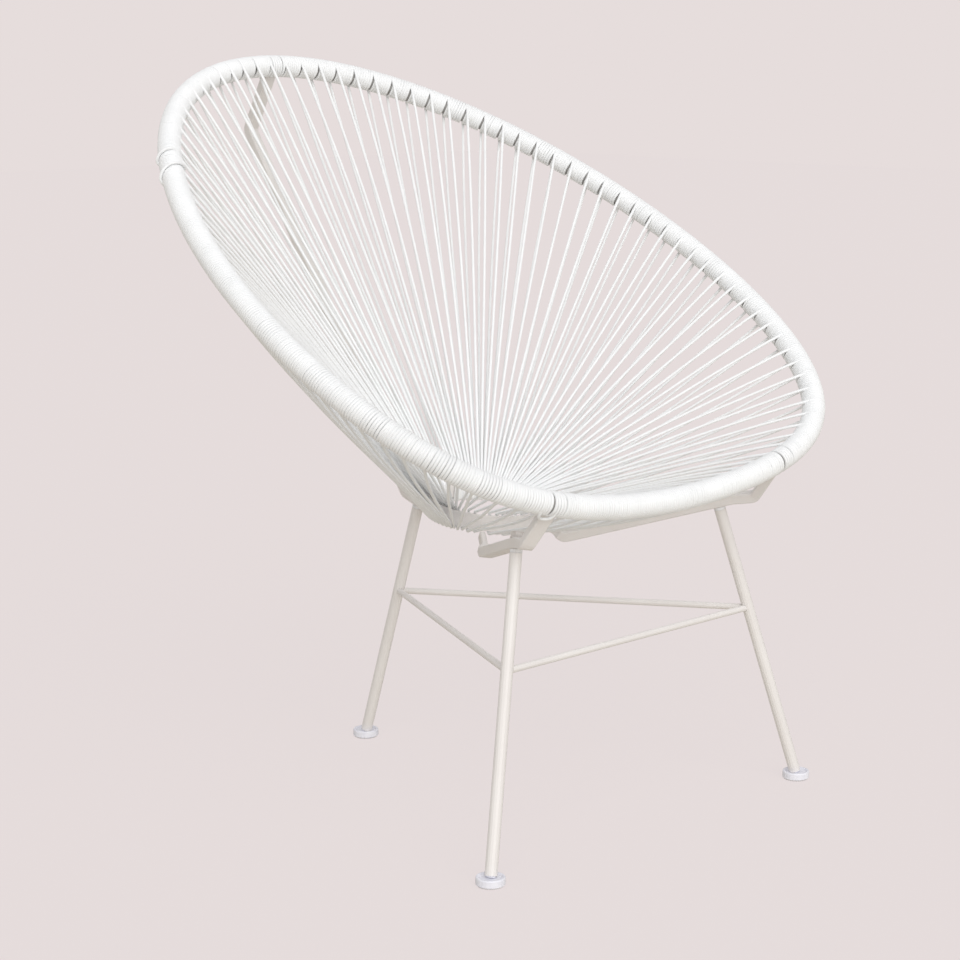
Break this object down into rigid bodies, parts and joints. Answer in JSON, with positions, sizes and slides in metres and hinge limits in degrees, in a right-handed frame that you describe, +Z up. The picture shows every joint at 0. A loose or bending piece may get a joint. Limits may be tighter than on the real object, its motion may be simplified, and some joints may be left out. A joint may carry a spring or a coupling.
{
  "type": "acapulco chair",
  "caption": "Acapulco lounge chair: a tilted egg-shaped hoop wound with cord and laced to a centre ring, on splayed tubular legs tied by thin rods.",
  "frame": {"origin": "on the floor, under the middle of the chair's bounding box", "axes": "+Z up, the sitter faces -Y, +X to the sitter's left"},
  "size_m": [0.7972, 0.7698, 0.8841],
  "materials": {
    "painted_steel": "satin powder coat",
    "cord": "soft gloss, lightly worn",
    "white_plastic": "matt",
    "zinc_steel": "painted over with the frame",
    "glide_plastic": "matt"
  },
  "bodies": {
    "root": {"hoop_tube": "painted_steel", "rim_winding_right": "cord", "rim_winding_front": "cord", "rim_winding_left": "cord", "centre_ring": "painted_steel", "seat_cord_01": "cord", "seat_cord_02": "cord", "seat_cord_03": "cord", "seat_cord_04": "cord", "seat_cord_05": "cord", "seat_cord_06": "cord", "seat_cord_07": "cord", "seat_cord_08": "cord", "seat_cord_09": "cord", "seat_cord_10": "cord", "seat_cord_11": "cord", "seat_cord_12": "cord", "bracket_front_left": "painted_steel", "leg_front_left": "painted_steel", "leg_insert_front_left": "white_plastic", "washer_front_left": "zinc_steel", "bolt_front_left": "zinc_steel", "glide_front_left": "glide_plastic", "bracket_front_right": "painted_steel", "leg_front_right": "painted_steel", "leg_insert_front_right": "white_plastic", "washer_front_right": "zinc_steel", "bolt_front_right": "zinc_steel", "glide_front_right": "glide_plastic", "bracket_rear": "painted_steel", "leg_rear": "painted_steel", "leg_insert_rear": "white_plastic", "washer_rear": "zinc_steel", "bolt_rear": "zinc_steel", "glide_rear": "glide_plastic", "rod_front": "painted_steel", "rod_left": "painted_steel", "rod_right": "painted_steel"}
  },
  "joints": []
}
